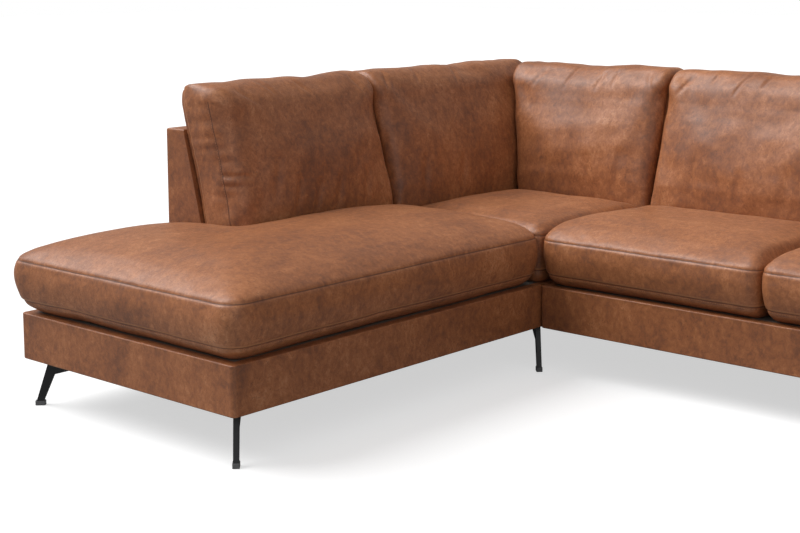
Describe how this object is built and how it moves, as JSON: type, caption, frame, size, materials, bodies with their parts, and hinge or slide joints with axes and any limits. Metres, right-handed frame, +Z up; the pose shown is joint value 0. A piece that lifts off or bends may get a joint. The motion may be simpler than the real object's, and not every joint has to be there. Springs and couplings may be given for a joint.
{
  "type": "u-shaped sofa",
  "caption": "U-shaped sofa in brown leather look: open-ended returns on both sides of a centre run, boxed seat cushions, loose leaning back cushions, slim splayed metal legs.",
  "frame": {"origin": "on the floor under the middle of the footprint", "axes": "+X along the centre run to the right, +Y to the rear, +Z up"},
  "size_m": [3.439, 2.1998, 0.9129],
  "materials": {
    "upholstery": "distressed cognac-brown leather look, satin",
    "foam": "open-cell foam",
    "fibre_filling": "fibre fill in a white inner bag",
    "wood": "raw plywood and pine",
    "black_metal": "black satin powder coat",
    "glide_plastic": "clear grey plastic",
    "screw_steel": "zinc plated",
    "plate_steel": "black",
    "support_plastic": "black",
    "spring_steel": "oil-dark spring wire",
    "clip_plastic": "white",
    "felt": "grey felt",
    "dust_cloth": "black non-woven",
    "webbing": "black elastic webbing"
  },
  "bodies": {
    "frame": {"back_lag_screws": "screw_steel", "back_webbing": "webbing", "centre_back_cover": "upholstery", "centre_back_frame": "wood", "centre_base_cover": "upholstery", "centre_base_frame": "wood", "centre_support_feet": "support_plastic", "corner_legs": "black_metal", "deck_pads": "felt", "dust_covers": "dust_cloth", "inner_front_legs": "black_metal", "left_base_cover": "upholstery", "left_base_frame": "wood", "left_rear_back_cover": "upholstery", "left_rear_back_frame": "wood", "left_side_back_cover": "upholstery", "left_side_back_frame": "wood", "leg_glides": "glide_plastic", "module_plates": "plate_steel", "outer_front_legs": "black_metal", "rear_inner_legs": "black_metal", "rear_outer_legs": "black_metal", "right_base_cover": "upholstery", "right_base_frame": "wood", "right_rear_back_cover": "upholstery", "right_rear_back_frame": "wood", "right_side_back_cover": "upholstery", "right_side_back_frame": "wood", "seat_springs": "spring_steel", "spring_clips": "clip_plastic", "wood_screws": "screw_steel"},
    "left_centre_cushion": {"left_centre_cushion_cover": "upholstery", "left_centre_cushion_filling": "fibre_filling"},
    "left_centre_seat": {"left_centre_seat_core": "foam", "left_centre_seat_cover": "upholstery"},
    "left_corner_cushion": {"left_corner_cushion_cover": "upholstery", "left_corner_cushion_filling": "fibre_filling"},
    "left_corner_seat": {"left_corner_seat_core": "foam", "left_corner_seat_cover": "upholstery"},
    "left_lounge_seat": {"left_lounge_seat_core": "foam", "left_lounge_seat_cover": "upholstery"},
    "left_rear_cushion": {"left_rear_cushion_cover": "upholstery", "left_rear_cushion_filling": "fibre_filling"},
    "left_side_cushion": {"left_side_cushion_cover": "upholstery", "left_side_cushion_filling": "fibre_filling"},
    "right_centre_cushion": {"right_centre_cushion_cover": "upholstery", "right_centre_cushion_filling": "fibre_filling"},
    "right_centre_seat": {"right_centre_seat_core": "foam", "right_centre_seat_cover": "upholstery"},
    "right_corner_cushion": {"right_corner_cushion_cover": "upholstery", "right_corner_cushion_filling": "fibre_filling"},
    "right_corner_seat": {"right_corner_seat_core": "foam", "right_corner_seat_cover": "upholstery"},
    "right_lounge_seat": {"right_lounge_seat_core": "foam", "right_lounge_seat_cover": "upholstery"},
    "right_rear_cushion": {"right_rear_cushion_cover": "upholstery", "right_rear_cushion_filling": "fibre_filling"},
    "right_side_cushion": {"right_side_cushion_cover": "upholstery", "right_side_cushion_filling": "fibre_filling"}
  },
  "joints": [
    {"name": "left_centre_cushion_lift", "type": "slide", "parent": "frame", "child": "left_centre_cushion", "axis": [0, 0.2538, 0.9673], "range_m": [0, 0.66]},
    {"name": "left_centre_seat_lift", "type": "slide", "parent": "frame", "child": "left_centre_seat", "axis": [0, 0, 1], "range_m": [0, 0.25]},
    {"name": "left_corner_cushion_lift", "type": "slide", "parent": "frame", "child": "left_corner_cushion", "axis": [-0.2538, 0, 0.9673], "range_m": [0, 0.66]},
    {"name": "left_corner_seat_lift", "type": "slide", "parent": "frame", "child": "left_corner_seat", "axis": [0, 0, 1], "range_m": [0, 0.25]},
    {"name": "left_lounge_seat_lift", "type": "slide", "parent": "frame", "child": "left_lounge_seat", "axis": [0, 0, 1], "range_m": [0, 0.25]},
    {"name": "left_rear_cushion_lift", "type": "slide", "parent": "frame", "child": "left_rear_cushion", "axis": [0, 0.2538, 0.9673], "range_m": [0, 0.66]},
    {"name": "left_side_cushion_lift", "type": "slide", "parent": "frame", "child": "left_side_cushion", "axis": [-0.2538, 0, 0.9673], "range_m": [0, 0.66]},
    {"name": "right_centre_cushion_lift", "type": "slide", "parent": "frame", "child": "right_centre_cushion", "axis": [0, 0.2538, 0.9673], "range_m": [0, 0.66]},
    {"name": "right_centre_seat_lift", "type": "slide", "parent": "frame", "child": "right_centre_seat", "axis": [0, 0, 1], "range_m": [0, 0.25]},
    {"name": "right_corner_cushion_lift", "type": "slide", "parent": "frame", "child": "right_corner_cushion", "axis": [0.2538, 0, 0.9673], "range_m": [0, 0.66]},
    {"name": "right_corner_seat_lift", "type": "slide", "parent": "frame", "child": "right_corner_seat", "axis": [0, 0, 1], "range_m": [0, 0.25]},
    {"name": "right_lounge_seat_lift", "type": "slide", "parent": "frame", "child": "right_lounge_seat", "axis": [0, 0, 1], "range_m": [0, 0.25]},
    {"name": "right_rear_cushion_lift", "type": "slide", "parent": "frame", "child": "right_rear_cushion", "axis": [0, 0.2538, 0.9673], "range_m": [0, 0.66]},
    {"name": "right_side_cushion_lift", "type": "slide", "parent": "frame", "child": "right_side_cushion", "axis": [0.2538, 0, 0.9673], "range_m": [0, 0.66]}
  ]
}
